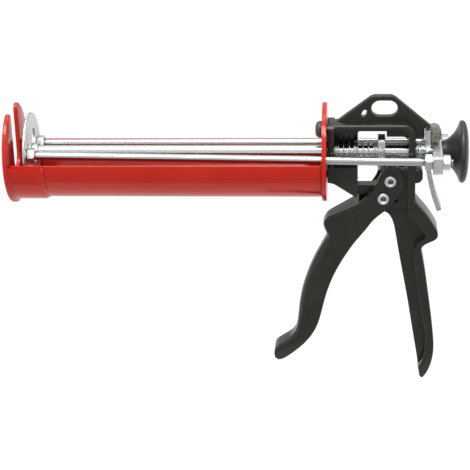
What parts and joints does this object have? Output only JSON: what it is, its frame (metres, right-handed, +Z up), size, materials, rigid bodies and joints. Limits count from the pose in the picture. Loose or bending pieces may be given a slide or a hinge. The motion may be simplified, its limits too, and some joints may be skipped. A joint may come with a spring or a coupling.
{
  "type": "caulking gun",
  "caption": "Half-shell caulking gun for coaxial two-part cartridges: red sheet cradle, black cast frame and trigger, sliding rod set with pusher, release lever and pull knob.",
  "frame": {"origin": "centre of the hanging hole in the top web of the frame casting", "axes": "+X rearwards along the drive rod to the pull knob, +Y across the gun, +Z up, away from the handle"},
  "size_m": [0.3148, 0.07, 0.2073],
  "materials": {
    "black_casting": "satin black coating on a zinc alloy die casting",
    "red_paint": "gloss red powder coat on sheet steel",
    "zinc_plate": "bright zinc plated steel",
    "bright_steel": "bright drawn steel",
    "black_plastic": "gloss black moulded plastic",
    "brass": "turned brass"
  },
  "bodies": {
    "gun_frame": {"frame_casting": "black_casting", "cradle_shell": "red_paint", "front_collar": "red_paint", "front_plate": "red_paint", "rear_plate": "red_paint", "upper_stud": "black_casting", "lower_stud": "black_casting", "pivot_pin": "zinc_plate", "return_spring": "bright_steel", "release_spring": "bright_steel"},
    "rod_set": {"drive_rod": "bright_steel", "near_side_rod": "bright_steel", "far_side_rod": "bright_steel", "pusher_disc": "zinc_plate", "near_front_nut": "zinc_plate", "far_front_nut": "zinc_plate", "centre_front_nut": "zinc_plate", "crosshead": "zinc_plate", "near_jam_nut": "zinc_plate", "far_jam_nut": "zinc_plate", "near_rear_nut": "zinc_plate", "far_rear_nut": "zinc_plate", "knob": "black_plastic", "knob_insert": "brass"},
    "trigger": {"trigger_lever": "black_casting", "drive_cam": "bright_steel", "cam_rivet": "zinc_plate"},
    "thrust": {"thrust_plate": "zinc_plate"},
    "release": {"release_lever": "zinc_plate"}
  },
  "joints": [
    {"name": "rod_slide", "type": "slide", "parent": "gun_frame", "child": "rod_set", "axis": [1, 0, 0], "range_m": [0, 0.185]},
    {"name": "trigger_hinge", "type": "hinge", "parent": "gun_frame", "child": "trigger", "pos_m": [0.0043, 0, -0.0489], "axis": [0, -1, 0], "range_deg": [0, 25], "stiffness_Nm_per_rad": 1.2, "springref_deg": -20.05},
    {"name": "thrust_slide", "type": "slide", "parent": "gun_frame", "child": "thrust", "axis": [-1, 0, 0], "range_m": [0, 0.0035], "deforming": ["return_spring"]},
    {"name": "release_hinge", "type": "hinge", "parent": "gun_frame", "child": "release", "pos_m": [0.0294, 0, -0.0164], "axis": [0, 1, 0], "range_deg": [0, 5], "stiffness_Nm_per_rad": 0.6, "springref_deg": -14.32, "deforming": ["release_spring"]}
  ],
  "couplings": [
    {"joint": "thrust_slide", "follows": "trigger_hinge", "m_per_rad": 0.00745}
  ]
}
